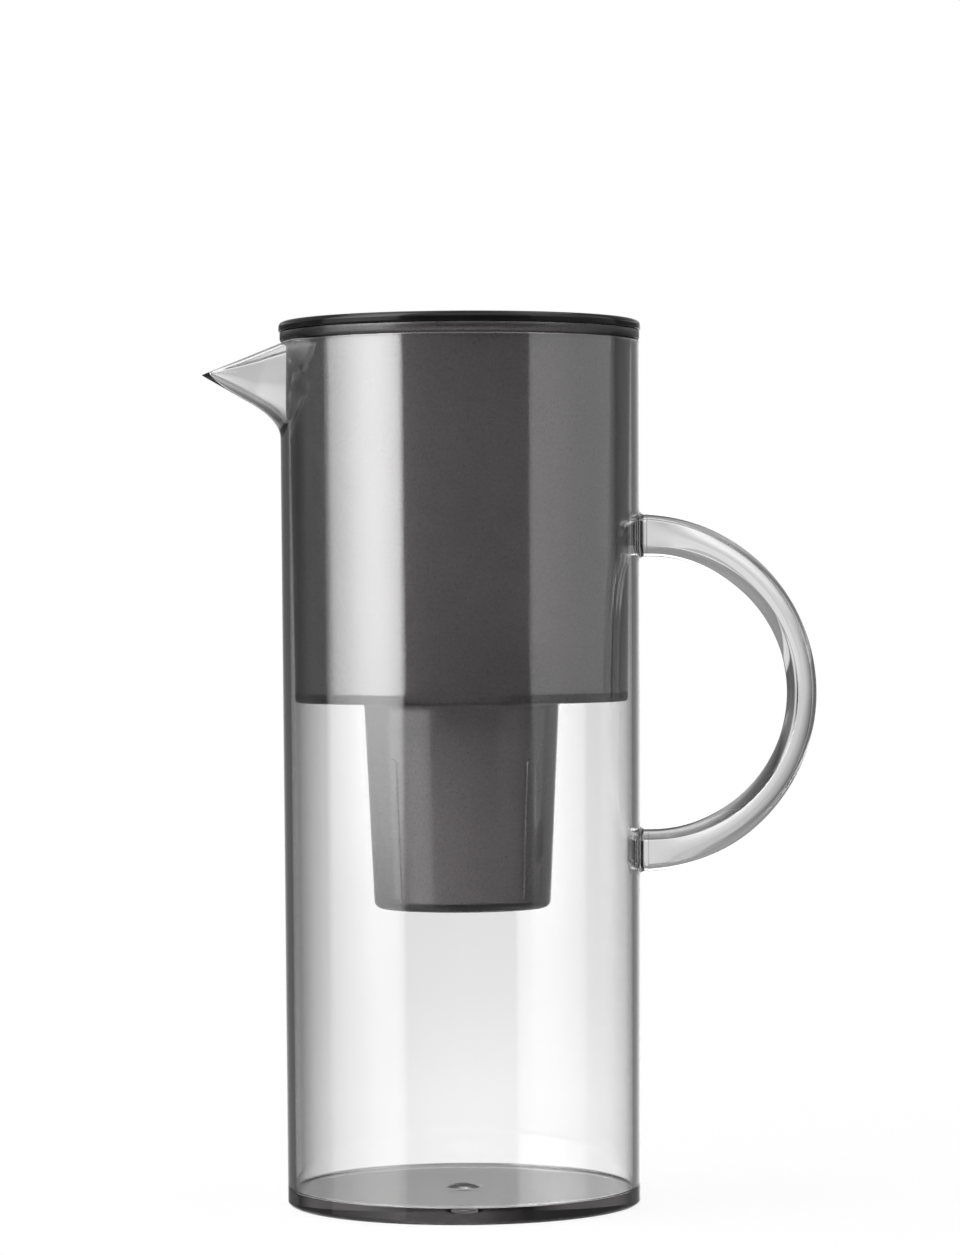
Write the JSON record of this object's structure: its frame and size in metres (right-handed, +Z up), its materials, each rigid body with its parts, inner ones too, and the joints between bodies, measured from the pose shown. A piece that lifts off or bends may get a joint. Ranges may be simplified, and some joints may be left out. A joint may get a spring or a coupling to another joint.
{
  "type": "water filter pitcher",
  "caption": "Tall cylindrical clear filter jug with a beak spout, a welded ring handle, and a lidded drop-in hopper that holds a filter cartridge in the cup under its floor.",
  "frame": {"origin": "on the jug's axis, in the plane that the foot stands on", "axes": "+Z up along the jug's axis, +X from the axis towards the handle, -X towards the spout, +Y to the back of the pictured side"},
  "size_m": [0.2001, 0.118, 0.2869],
  "materials": {
    "clear_smoke": "clear, polished, faint grey tint",
    "dark_smoke": "translucent dark grey, finely frosted",
    "black_gloss": "opaque, polished",
    "cartridge_white": "moulded satin",
    "seal_rubber": "soft, matte",
    "sieve_white": "moulded satin",
    "fleece": "felted fibre",
    "carbon": "loose granules",
    "resin": "loose beads"
  },
  "bodies": {
    "jug": {"jug_body": "clear_smoke", "handle": "clear_smoke"},
    "hopper": {"hopper": "dark_smoke"},
    "lid": {"lid": "black_gloss"},
    "cartridge": {"cartridge_shell": "cartridge_white", "cartridge_cap": "cartridge_white", "cartridge_seal": "seal_rubber", "inlet_sieve": "sieve_white", "carbon_bed": "carbon", "separator_fleece": "fleece", "resin_bed": "resin", "outlet_fleece": "fleece", "outlet_sieve": "sieve_white"}
  },
  "joints": [
    {"name": "hopper_lift", "type": "slide", "parent": "jug", "child": "hopper", "axis": [0, 0, 1], "range_m": [0, 0.2]},
    {"name": "lid_lift", "type": "slide", "parent": "hopper", "child": "lid", "axis": [0, 0, 1], "range_m": [0, 0.1]},
    {"name": "cartridge_lift", "type": "slide", "parent": "hopper", "child": "cartridge", "axis": [0, 0, 1], "range_m": [0, 0.07]}
  ]
}
